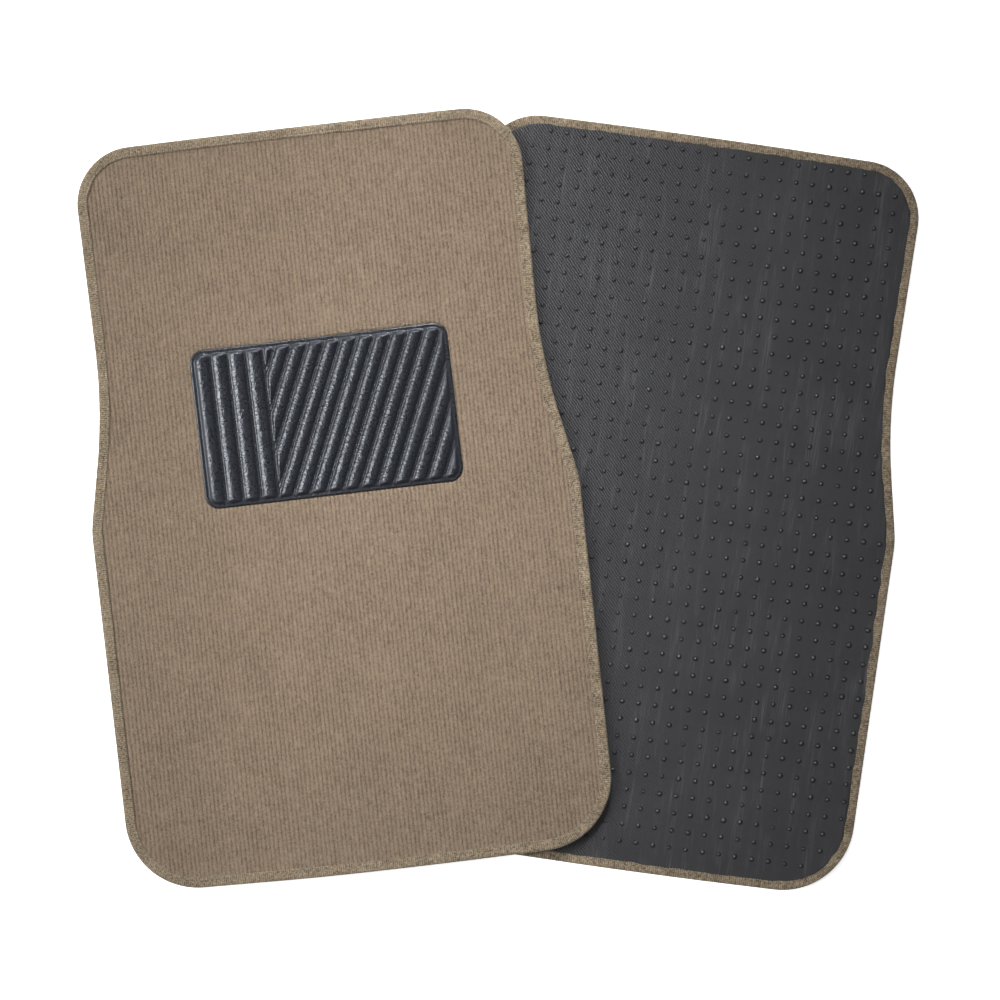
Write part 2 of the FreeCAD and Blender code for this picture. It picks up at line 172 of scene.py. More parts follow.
def mat_outline(mat, step):
    """The mat's outline at its own scale, as points and inward normals."""
    corners = [tuple(mat.scale * size for size in corner) for corner in OUTLINE]
    return rounded(corners, step)


def half_widths(mat, inset, y):
    """Half the mat's width at each place along it, that far in from its edge."""
    points, inward = mat_outline(mat, 1)
    edge = points + inward * inset
    right = edge[edge[:, 0] > 0]
    order = np.argsort(right[:, 1])
    return np.interp(y, right[order, 1], right[order, 0], left=0, right=0)


def smooth_noise(rng, shape, passes):
    """Random numbers of about unit size that change smoothly, by a few passes along each axis."""
    field = rng.standard_normal(shape)
    for axis, count in enumerate(passes):
        for _ in range(count):
            field = (np.roll(field, 1, axis) + 2 * field + np.roll(field, -1, axis)) / 4
    return field / field.std()


# --- meshes ---------------------------------------------------------------------------------


def grid(columns, rows):
    """Every point of a grid, and its quads, which face up."""
    x, y = np.meshgrid(columns, rows)
    index = np.arange(x.size).reshape(x.shape)
    quads = np.stack([index[:-1, :-1], index[:-1, 1:], index[1:, 1:], index[1:, :-1]], axis=-1)
    return x.ravel(), y.ravel(), quads.reshape(-1, 4)


def used_only(faces, *values):
    """The faces renumbered to skip the points that none uses, and those points' own values."""
    used = np.unique(np.concatenate([np.ravel(face) for face in faces]))
    number = np.zeros(used[-1] + 1, int)
    number[used] = np.arange(len(used))
    return [number[face] for face in faces], *(v[used] for v in values)


def rim_edges(quads):
    """The edges that only one quad uses, in that quad's direction."""
    edges = np.concatenate([quads[:, [i, (i + 1) % 4]] for i in range(4)])
    _, first, uses = np.unique(np.sort(edges, axis=1), axis=0, return_index=True, return_counts=True)
    return edges[first[uses == 1]]


def closed(top, bottom, quads):
    """A closed shell: quads on the top points, the same quads turned over below, and sides."""
    rim = rim_edges(quads)
    below = quads[:, ::-1] + len(top)
    sides = np.column_stack([rim[:, ::-1], rim + len(top)])
    return np.concatenate([top, bottom]), np.concatenate([quads, below, sides])


def closed_with_coarse_floor(top, bottom, quads, kept, every):
    """Such a shell round a grid's kept quads, with faces below that are that many quads wide."""
    rim = rim_edges(quads[kept.ravel()])
    index = np.arange(len(top)).reshape(len(kept) + 1, -1)
    needed = np.zeros(len(top), bool)
    needed[rim] = True
    needed[index[:, ::every]] = True
    faces = [*quads[kept.ravel()], *np.column_stack([rim[:, ::-1], rim + len(top)])]
    for near, far, row in zip(index, index[1:], kept):
        for start in range(0, len(row), every):
            run = start + np.flatnonzero(row[start : start + every])
            if len(run):
                near_run, far_run = (line[run[0] : run[-1] + 2] for line in (near, far))
                corners = [*far_run[needed[far_run]], *near_run[needed[near_run]][::-1]]
                faces.append(np.array(corners) + len(top))
    return np.concatenate([top, bottom]), faces


def ring_strips(rings, count, loop):
    """Quads between neighbouring rings of count points. A loop's last ring is joined to its first."""
    index = np.arange(rings * count).reshape(rings, count)
    ahead = np.roll(index, -1, axis=0)
    beside, ahead_beside = np.roll(index, -1, axis=1), np.roll(ahead, -1, axis=1)
    quads = np.stack([index, beside, ahead_beside, ahead], axis=-1)
    return (quads if loop else quads[:-1]).reshape(-1, 4)


def add_piece(name, mat, points, faces, material, stands_for, values=None):
    """A smooth mesh on a mat's body. values are numbers at its points, for its material."""
    mesh = bpy.data.meshes.new(name)
    mesh.from_pydata(mat.to_world(points).tolist(), [], [list(face) for face in faces])
    for key, numbers in (values or {}).items():
        mesh.attributes.new(key, "FLOAT", "POINT").data.foreach_set("value", numbers.astype(np.float32))
    mesh.polygons.foreach_set("use_smooth", np.ones(len(mesh.polygons), bool))
    mesh.materials.append(material)
    piece = bpy.data.objects.new(name, mesh)
    bpy.context.scene.collection.objects.link(piece)
    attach(piece, mat.body)
    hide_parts(*[f"{mat.body}_{node}" for node in stands_for])
    return piece


# --- the heel pad's shape -------------------------------------------------------------------


def to_pad(x, y):
    """A place on the mat, in the heel pad's own frame."""
    cos, sin = math.cos(PAD_TURN), math.sin(PAD_TURN)
    x, y = x - PAD_CENTRE[0], y - PAD_CENTRE[1]
    return x * cos + y * sin, y * cos - x * sin


def from_pad(x, y):
    """A place of the heel pad's frame, on the mat."""
    cos, sin = math.cos(PAD_TURN), math.sin(PAD_TURN)
    return PAD_CENTRE[0] + x * cos - y * sin, PAD_CENTRE[1] + x * sin + y * cos


def inside_pad(x, y):
    """How far inside the pad's rounded edge a place of its frame is; less than 0 outside."""
    over_x = np.abs(x) - (PAD_SIZE[0] / 2 - PAD_CORNER)
    over_y = np.abs(y) - (PAD_SIZE[1] / 2 - PAD_CORNER)
    beyond = np.hypot(np.maximum(over_x, 0), np.maximum(over_y, 0))
    return PAD_CORNER - beyond - np.minimum(np.maximum(over_x, over_y), 0)


def pillow(from_middle):
    """A rib's profile, from 1 at its middle to 0 at its edge: a low arch with short steep sides."""
    u = np.clip(from_middle, 0, 1)
    return 0.72 * (1 - u**2) + 0.28 * np.sqrt(1 - u**6)


def rib_section(from_groove, half_pitch):
    """A rib's crown and its groove's bead, each from 0 to 1, by the distance from mid-groove."""
    crown = pillow((half_pitch - from_groove) / (half_pitch - RIB_GROOVE / 2))
    bead = np.clip(1 - (from_groove / 0.9) ** 2, 0, 1)
    return crown, bead


def pad_height(x, y):
    """Height of the moulded ribs, and of the grooves' beads, from 0 to 1, in the pad's frame."""
    divider = PAD_RIM - RIB_GROOVE / 2 + UPRIGHT_RIBS * UPRIGHT_PITCH
    past_divider = x + PAD_SIZE[0] / 2 - divider
    turns = past_divider / UPRIGHT_PITCH
    upright, upright_bead = rib_section(np.abs(turns - np.round(turns)) * UPRIGHT_PITCH, UPRIGHT_PITCH / 2)
    square_to = (x - SLANT_FIRST) * math.cos(SLANT_ANGLE) - y * math.sin(SLANT_ANGLE)
    turns = square_to / SLANT_PITCH - 0.5
    slanted, slanted_bead = rib_section(np.abs(turns - np.round(turns)) * SLANT_PITCH, SLANT_PITCH / 2)
    on_the_right = past_divider > RIB_GROOVE / 2
    on_divider = np.abs(past_divider) < RIB_GROOVE / 2
    from_rim = inside_pad(x, y) - PAD_RIM
    to_end = np.where(on_the_right, np.minimum(from_rim, past_divider - RIB_GROOVE / 2), from_rim)
    crown = np.where(on_the_right, slanted, upright) * pillow(1 - to_end / RIB_END)
    bead = np.where(on_the_right & ~on_divider, slanted_bead, upright_bead)
    return crown, bead * np.clip(from_rim / 1.5 + 0.5, 0, 1)


# --- pieces ---------------------------------------------------------------------------------


def carpet_rows():
    """Places of the pile's rows of points along the mat, closer together at the heel pad's ends."""
    even = np.arange(-344, 345, 4.0)
    rows = []
    for side in (-1, 1):
        pad_end = PAD_CENTRE[1] + side * PAD_SIZE[1] / 2
        even = even[np.abs(even - pad_end) > 6]
        rows.append(np.arange(pad_end - 4.8, pad_end + 4.9, 0.8))
    return np.sort(np.concatenate([even, *rows]))


def make_carpet(mat, material, seed):
    """The ribbed pile: rows of tufts along the mat, pressed down under the heel pad."""
    rng = np.random.default_rng(seed)
    per_rib, ribs = 4, 58
    usual_depth, least_depth, most_depth = 0.65, 0.15, 1.2
    columns = np.arange(-ribs * per_rib, ribs * per_rib + 1) * RIB_PITCH / per_rib
    rows = carpet_rows()
    x, y, quads = grid(columns, rows)
    line = np.repeat(np.arange(len(rows)), len(columns))
    rib = np.floor(x / RIB_PITCH + ribs + 0.01).astype(int)

    def tuft_noise(passes):
        return smooth_noise(rng, (len(rows), 2 * ribs + 1), (passes, 0))[line, rib]

    crest = np.sqrt(1 - np.abs((x / RIB_PITCH) % 1 - 0.5) * 2)
    tuft = tuft_noise(0)
    depth = np.clip(usual_depth + 0.3 * tuft_noise(2), least_depth, most_depth)
    swell = smooth_noise(rng, (len(rows), len(columns)), (60, 400)).ravel()
    height = PILE_TOP - 0.2 - depth * (1 - crest) + 0.09 * tuft + 0.1 * swell
    inside = inside_pad(*to_pad(x, y))
    pulled_down = 1.1 * np.exp(-np.maximum(-inside, 0) / 1.6)
    height = np.where(inside > 0.3, PILE_TOP - PAD_SINK - 0.3, height - pulled_down)
    wander = 0.15 * np.clip(tuft_noise(6), -2, 2)
    top = np.stack([x + wander, y, np.minimum(height, PILE_TOP + 0.2)], axis=1)
    floor = np.stack([x, y, np.full(len(x), PILE_FOOT + 0.02)], axis=1)
    held = np.abs(x) < half_widths(mat, 2, y)
    kept = held[quads].all(1).reshape(len(rows) - 1, -1)
    points, faces = closed_with_coarse_floor(top, floor, quads, kept, 16)
    crest, tuft = np.tile(crest, 2), np.tile(tuft, 2)
    faces, points, crest, tuft = used_only(faces, points, crest, tuft)
    name = f"{mat.body}_carpet_pile"
    # The crest also carries the carpet's painted shade between the rows to its material.
    values = {"crest": crest, "tuft": tuft}
    return add_piece(name, mat, points, faces, material, ["carpet"], values)


def tape_section():
    """The folded tape's section: inset from the mat's edge, and height, outside and inside.

    The outside goes from the selvedge on the face round the fold to the selvedge on the back, and
    the inside comes back. The stitches pull a dip into both sides.
    """
    dip, seam, fold = 0.35, STITCH_INSET, 0.8
    face, back = FACE_TAPE_WIDTH, BACK_TAPE_WIDTH
    outside = [(face, MAT_TOP - 0.6), (face - 0.3, MAT_TOP - 0.15), (face - 1.2, MAT_TOP)]
    outside += [(seam + 0.8, MAT_TOP - 0.1), (seam, MAT_TOP - dip), (seam - 0.8, MAT_TOP - 0.1)]
    outside += [(4.6, MAT_TOP), (3.0, MAT_TOP), (1.5, MAT_TOP - 0.14), (0.6, MAT_TOP - 0.6)]
    outside += [(0.12, MAT_TOP - 1.5), (0, 4.6), (0.08, 3.0), (0.45, TAPE_FOOT + 0.7)]
    outside += [(1.3, TAPE_FOOT + 0.15), (2.8, TAPE_FOOT + 0.02), (4.6, TAPE_FOOT)]
    outside += [(seam - 0.7, TAPE_FOOT + 0.07), (seam, TAPE_FOOT + dip / 2)]
    outside += [(seam + 0.7, TAPE_FOOT + 0.07)]
    outside += [(back - 0.3, TAPE_FOOT + 0.12), (back, TAPE_FOOT + 0.4)]
    inside = [(back - 0.9, NIB_HEIGHT - 0.1), (2.0, NIB_HEIGHT), (fold, 2.6), (fold, 4.4)]
    inside += [(fold + 0.1, PILE_TOP - 0.7), (2.0, PILE_TOP), (face - 0.9, PILE_TOP + 0.03)]
    return outside, inside


def make_tape(mat, material, seed):
    """The binding tape, folded over the mat's edge, with a finely scalloped selvedge."""
    rng = np.random.default_rng(seed)
    step = 0.8
    edge, inward = mat_outline(mat, step)
    outside, inside = tape_section()
    section = np.array(outside + inside)
    rings, count = len(edge), len(section)
    inset = np.repeat(section[None, :, 0], rings, axis=0)
    height = np.repeat(section[None, :, 1], rings, axis=0)
    at = np.arange(rings) * step
    puckers = smooth_noise(rng, (rings, 1), (40, 0)) * 0.12
    ripple = smooth_noise(rng, (rings, count), (4, 1)) * 0.035
    on_face = height > (MAT_TOP + TAPE_FOOT) / 2
    width = np.where(on_face, FACE_TAPE_WIDTH, BACK_TAPE_WIDTH)
    selvedge = np.clip((inset - width + 1.5) / 1.5, 0, 1)
    teeth = 0.28 * np.sin(2 * np.pi * at / 3.0)[:, None]
    inset = inset + selvedge * np.where(on_face, 0.3 * teeth + puckers, teeth + 3 * puckers)
    seen = np.arange(count) < len(outside)
    height = np.where(seen, np.clip(height + ripple, TAPE_FOOT, MAT_TOP), height)
    points = np.stack(
        [
            edge[:, 0, None] + inward[:, 0, None] * inset,
            edge[:, 1, None] + inward[:, 1, None] * inset,
            height,
        ],
        axis=-1,
    ).reshape(-1, 3)
    run = np.concatenate([[0], np.cumsum(np.linalg.norm(np.diff(section, axis=0), axis=1))])
    values = {"along": np.repeat(at, count), "across": np.tile(run, rings)}
    faces = ring_strips(rings, count, loop=True)
    name = f"{mat.body}_tape"
    return add_piece(name, mat, points, faces, material, ["binding_tape"], values)


def make_stitches(mat, material, on_face, seed):
    """One side of the lock stitch: a row of short threads, pulled a little into the tape."""
    rng = np.random.default_rng(seed)
    edge, inward = mat_outline(mat, STITCH_PITCH)
    middle = edge + inward * STITCH_INSET
    ahead = np.stack([inward[:, 1], -inward[:, 0]], axis=1)
    stations = np.linspace(-1, 1, 7)
    half_length = STITCH_PITCH * 0.41
    thick = THREAD_RADIUS * np.sqrt(np.clip(1.02 - stations**2, 0.03, 1)) ** 0.6
    sides = 8
    angles = 2 * np.pi * np.arange(sides) / sides
    sunk, end_dip = THREAD_RADIUS + 0.12, 0.3
    level = MAT_TOP - sunk if on_face else TAPE_FOOT + sunk
    dip = -end_dip if on_face else end_dip
    tilt = rng.normal(0.09, 0.03, len(middle))[:, None]
    points, faces = [], []
    strip = ring_strips(len(stations), sides, loop=False)
    for place, direction, across, lean in zip(middle, ahead, inward, tilt):
        direction = direction + across * lean
        for station, radius in zip(stations, thick):
            spine = place + direction * station * half_length
            ring = spine + np.outer(np.cos(angles) * radius, across)
            high = level + dip * station**2 + np.sin(angles) * radius
            points.append(np.column_stack([ring, high]))
    points = np.concatenate(points)
    per_stitch = len(stations) * sides
    caps = []
    for start in range(0, len(points), per_stitch):
        faces.append(strip + start)
        for first in (start, start + per_stitch - sides):
            ends = np.arange(first, first + sides)
            caps += [ends[[0, 1, 2, 3]], ends[[0, 3, 4, 7]], ends[[4, 5, 6, 7]]]
    faces = np.concatenate([*faces, np.array(caps)])
    thread = "needle" if on_face else "bobbin"
    name = f"{mat.body}_{thread}_stitches"
    return add_piece(name, mat, points, faces, material, [f"binding_{thread}_thread"])


def nib_mesh():
    """One nib, a low dome under the backing, in rings from its root to its tip."""
    dome = (NIB_RADIUS**2 + NIB_HEIGHT**2) / (2 * NIB_HEIGHT)
    radii = (NIB_RADIUS, 2.2, 1.85, 1.4, 0.95, 0.4)
    sides = 10
    angles = 2 * np.pi * np.arange(sides) / sides
    points = [
        (radius * math.cos(a), radius * math.sin(a), dome - math.sqrt(dome**2 - radius**2))
        for radius in radii
        for a in angles
    ]
    strips = ring_strips(len(radii), sides, loop=False)[:, ::-1]
    tip = len(points) - sides
    caps = [[tip, tip + 7, tip + 8, tip + 9], [tip, tip + 1, tip + 6, tip + 7]]
    caps += [[tip + 1, tip + 2, tip + 5, tip + 6], [tip + 2, tip + 3, tip + 4, tip + 5]]
    return np.array(points), np.concatenate([strips, np.array(caps)[:, ::-1]])


def places(first, pitch, reach):
    """Places at a pitch on both sides of the first, out to a little past a reach."""
    count = int(reach // pitch) + 1
    return first + pitch * np.arange(-count, count + 1)


def make_backing(mat, material, seed):
    """The rubber sheet and its grid of nibs."""
    rng = np.random.default_rng(seed)
    columns, rows = np.arange(-225, 226, 5.0), np.arange(-345, 346, 5.0)
    x, y, quads = grid(columns, rows)
    shape = (len(rows), len(columns))
    swell = 0.12 * smooth_noise(rng, shape, (12, 12)).ravel()
    held = np.abs(x) < half_widths(mat, 1.2, y)
    top = np.stack([x, y, np.full(len(x), BACKING_TOP - 0.02)], axis=1)
    bottom = np.stack([x, y, NIB_HEIGHT + swell], axis=1)
    points, faces = closed(top, bottom, quads[held[quads].all(1)])
    faces, points = used_only(faces, points)
    nib_points, nib_faces = nib_mesh()
    room = FACE_TAPE_WIDTH + 3
    x, y = np.meshgrid(places(NIB_FIRST[0], NIB_PITCH[0], 230), places(NIB_FIRST[1], NIB_PITCH[1], 350))
    x, y = x.ravel(), y.ravel()
    fits = np.abs(x) < half_widths(mat, room, y)
    shift = rng.normal(0, 0.12, (2, fits.sum()))
    centres = np.stack([x[fits] + shift[0], y[fits] + shift[1], np.zeros(fits.sum())], axis=1)
    wide = rng.normal(1, 0.06, fits.sum())
    size = np.stack([wide, wide, np.ones(fits.sum())], axis=1)
    nibs = (nib_points[None] * size[:, None] + centres[:, None]).reshape(-1, 3)
    starts = len(points) + len(nib_points) * np.arange(fits.sum())
    nib_quads = (nib_faces[None] + starts[:, None, None]).reshape(-1, 4)
    # A nib's rings carry values for the rubber's colour: painted shade at the root, painted highlight and
    # scuffing at the tip.
    root_to_tip = [-1, -1, -1, -0.5, 0.5, 1]
    nib_shade_and_highlight = np.repeat(root_to_tip, len(nib_points) // len(root_to_tip))
    values = {"nib": np.concatenate([np.zeros(len(points)), np.tile(nib_shade_and_highlight, fits.sum())])}
    points, faces = np.concatenate([points, nibs]), [*faces, *nib_quads]
    name = f"{mat.body}_rubber_backing"
    return add_piece(name, mat, points, faces, material, ["backing"], values)


def make_pad(mat, vinyl, foam, seed):
    """The heel pad's moulded cover, and the foam that fills its ribs."""
    rng = np.random.default_rng(seed)
    columns = np.linspace(-PAD_SIZE[0] / 2, PAD_SIZE[0] / 2, 272)
    rows = np.linspace(-PAD_SIZE[1] / 2, PAD_SIZE[1] / 2, 167)
    x, y, quads = grid(columns, rows)
    middles = x[quads].mean(1), y[quads].mean(1)
    quads = quads[inside_pad(*middles) > 0]
    # The outermost points at the corners are moved on to the rounded edge.
    over = [
        np.maximum(np.abs(v) - (size / 2 - PAD_CORNER), 1e-6)
        for v, size in ((x, PAD_SIZE[0]), (y, PAD_SIZE[1]))
    ]
    snapped = (inside_pad(x, y) < 0.5) & (over[0] > 1e-3) & (over[1] > 1e-3)
    pull = np.where(snapped, PAD_CORNER / np.hypot(*over), 1)
    x, y = (
        np.where(snapped, np.sign(v) * (size / 2 - PAD_CORNER + gap * pull), v)
        for v, size, gap in ((x, PAD_SIZE[0], over[0]), (y, PAD_SIZE[1], over[1]))
    )
    inside = inside_pad(x, y)
    low = PILE_TOP - PAD_SINK
    groove = low + FOAM_CRUSHED + COVER_GAUGE
    shape = (len(rows), len(columns))
    creases = 0.04 * smooth_noise(rng, shape, (2, 2)).ravel()
    crown, bead = pad_height(x, y)
    lip = np.clip(1 - np.abs(inside - 1.6) / 1.2, 0, 1)
    edge = np.clip(1 - inside / 0.8, 0, 1)
    rise = crown * (MAT_TOP + mat.puff - groove + creases)
    height = groove + np.maximum(rise, BEAD_HEIGHT * bead) + LIP_HEIGHT * lip - EDGE_DROP * edge
    mat_x, mat_y = from_pad(x, y)
    top = np.stack([mat_x, mat_y, height], axis=1)
    under = np.stack([mat_x, mat_y, np.maximum(height - COVER_GAUGE, low)], axis=1)
    floor = np.stack([mat_x, mat_y, np.full(len(x), low)], axis=1)
    points, faces = closed(top, under, quads)
    weld = np.clip(1 - np.abs(inside - PAD_RIM - 1.2) / 2, 0, 1)
    faces, points, crown, weld = used_only(faces, points, np.tile(crown, 2), np.tile(weld, 2))
    name = f"{mat.body}_heel_pad"
    # The crown carries the vinyl's painted highlight on the ribs' crowns to its material.
    values = {"crown": crown, "weld": weld}
    cover = add_piece(name, mat, points, faces, vinyl, ["heel_pad_cover"], values)
    inner = inside > PAD_RIM
    filled = np.maximum(under - [0, 0, 0.02], floor + [0, 0, 0.1])
    points, faces = closed(filled, floor, quads[inner[quads].all(1)])
    faces, points = used_only(faces, points)
    filling = add_piece(f"{name}_filling", mat, points, faces, foam, ["heel_pad_foam"])


# --- materials ------------------------------------------------------------------------------


def node(tree, kind, inputs=None, **settings):
    """A shader node. An input is a number, a colour or another node's output."""
    made = tree.nodes.new(kind)
    for key, setting in settings.items():
        setattr(made, key, setting)
    for key, entry in (inputs or {}).items():
        if isinstance(entry, bpy.types.NodeSocket):
            tree.links.new(entry, made.inputs[key])
        else:
            made.inputs[key].default_value = entry
    return made


def math_node(tree, operation, *entries):
    """A calculation with numbers or other nodes' outputs."""
    made = node(tree, "ShaderNodeMath", dict(enumerate(entries)), operation=operation)
    return made.outputs[0]


def mix(tree, factor, first, second):
    """A colour between two."""
    made = node(tree, "ShaderNodeMix", data_type="RGBA")
    for index, entry in ((0, factor), (6, first), (7, second)):
        if isinstance(entry, bpy.types.NodeSocket):
            tree.links.new(entry, made.inputs[index])
        else:
            made.inputs[index].default_value = entry
    return made.outputs[2]


def ramp(tree, value, low, high):
    """0 below low, 1 above high and even between."""
    entries = {"Value": value, "From Min": low, "From Max": high}
    return node(tree, "ShaderNodeMapRange", entries).outputs[0]


def noise(tree, where, scale, detail, roughness):
    """Cloudy noise from about 0.2 to 0.8."""
    entries = {"Vector": where, "Scale": scale, "Detail": detail, "Roughness": roughness}
    return node(tree, "ShaderNodeTexNoise", entries).outputs[0]


def value_at_points(tree, name):
    """A number that the piece's points carry."""
    return node(tree, "ShaderNodeAttribute", attribute_name=name).outputs["Fac"]


def new_material(name, roughness, **constants):
    """A material, its nodes and its shader. constants are the shader's own numbers and colours."""
    material = bpy.data.materials.new(name)
    material.use_nodes = True
    shader = material.node_tree.nodes["Principled BSDF"]
    shader.inputs["Roughness"].default_value = roughness
    for key, entry in constants.items():
        shader.inputs[key.replace("_", " ").title().replace("Ior", "IOR")].default_value = entry
    return material, material.node_tree, shader


def mat_space(tree, mat, stretch=(1, 1, 1)):
    """Places in millimetres from the scene's origin, along a mat's own axes, stretched."""
    where = node(tree, "ShaderNodeTexCoord").outputs["Object"]
    entries = {"Vector": where, "Rotation": (0, 0, -mat.turn)}
    turned = node(tree, "ShaderNodeMapping", entries, vector_type="POINT").outputs[0]
    scale = tuple(1000 * s for s in stretch)
    return node(tree, "ShaderNodeMapping", {"Vector": turned, "Scale": scale}).outputs[0]


def bump(tree, shader, height, distance):
    """Relief from a pattern, its depth in millimetres."""
    entries = {"Height": height, "Distance": distance * MM, "Strength": 1.0}
    tree.links.new(node(tree, "ShaderNodeBump", entries).outputs[0], shader.inputs["Normal"])


CARPET_LIGHT = (0.270, 0.205, 0.146, 1)
CARPET_DARK = (0.080, 0.056, 0.037, 1)


def carpet_material(mat):
    """Taupe loop pile: nubs of yarn in rows, with painted shade between the rows, and faint mottling."""
    material, tree, shader = new_material(
        f"{mat.body}_carpet", 0.95, sheen_weight=0.1, sheen_roughness=0.6, specular_ior_level=0.1
    )
    space = mat_space(tree, mat)
    nubs = ramp(tree, noise(tree, mat_space(tree, mat, (0.62, 0.3, 1)), 1.0, 2.0, 0.6), 0.32, 0.68)
    fibres = ramp(tree, noise(tree, space, 0.62, 2.0, 0.7), 0.3, 0.7)
    patches = ramp(tree, noise(tree, space, 0.02, 3.0, 0.6), 0.3, 0.7)
    # Painted shade in the valleys between the rows, lighter towards each crest.
    shade = math_node(tree, "MULTIPLY", value_at_points(tree, "crest"), 0.45)
    shade = math_node(tree, "MULTIPLY_ADD", value_at_points(tree, "tuft"), 0.06, shade)
    shade = math_node(tree, "MULTIPLY_ADD", nubs, 0.26, shade)
    shade = math_node(tree, "MULTIPLY_ADD", fibres, 0.5, shade)
    shade = math_node(tree, "MULTIPLY_ADD", patches, 0.12, shade)
    colour = mix(tree, ramp(tree, shade, 0.12, 1.15), CARPET_DARK, CARPET_LIGHT)
    tree.links.new(colour, shader.inputs["Base Color"])
    bump(tree, shader, math_node(tree, "MULTIPLY_ADD", fibres, 0.8, nubs), 0.5)
    return material


TAPE_LIGHT = (0.365, 0.290, 0.200, 1)
TAPE_DARK = (0.048, 0.036, 0.023, 1)


def tape_material(mat):
    """Khaki woven tape: fine ribs across it, crossed by finer threads, with mottled yarn."""
    material, tree, shader = new_material(
        f"{mat.body}_tape_weave", 0.8, sheen_weight=0.15, sheen_roughness=0.5, specular_ior_level=0.2
    )
    along, across = value_at_points(tree, "along"), value_at_points(tree, "across")
    space = mat_space(tree, mat)
    slubs = ramp(tree, noise(tree, space, 0.55, 2.0, 0.7), 0.32, 0.68)
    drift = ramp(tree, noise(tree, space, 0.06, 2.0, 0.5), 0.3, 0.7)
    picks = math_node(tree, "MULTIPLY", along, 2 * math.pi / 1.9)
    picks = math_node(tree, "MULTIPLY_ADD", slubs, 1.5, picks)
    ends = math_node(tree, "MULTIPLY", across, 2 * math.pi / 1.3)
    weave = math_node(tree, "SINE", picks)
    weave = math_node(tree, "MULTIPLY_ADD", math_node(tree, "SINE", ends), 0.4, weave)
    shade = math_node(tree, "MULTIPLY", weave, 0.15)
    shade = math_node(tree, "MULTIPLY_ADD", slubs, 0.7, shade)
    shade = math_node(tree, "MULTIPLY_ADD", drift, 0.2, shade)
    colour = mix(tree, ramp(tree, shade, 0.0, 0.95), TAPE_DARK, TAPE_LIGHT)
    tree.links.new(colour, shader.inputs["Base Color"])
    bump(tree, shader, math_node(tree, "MULTIPLY_ADD", slubs, 0.8, weave), 0.12)
    return material


def thread_material():
    """Twisted polyester thread, a shade browner than the tape."""
    material, tree, shader = new_material("sewing_thread", 0.55, sheen_weight=0.3)
    where = node(tree, "ShaderNodeTexCoord").outputs["Object"]
    twist = noise(tree, where, 1800.0, 2.0, 0.5)
    colour = mix(tree, twist, (0.040, 0.027, 0.015, 1), (0.13, 0.095, 0.056, 1))
    tree.links.new(colour, shader.inputs["Base Color"])
    bump(tree, shader, twist, 0.12)
    return material


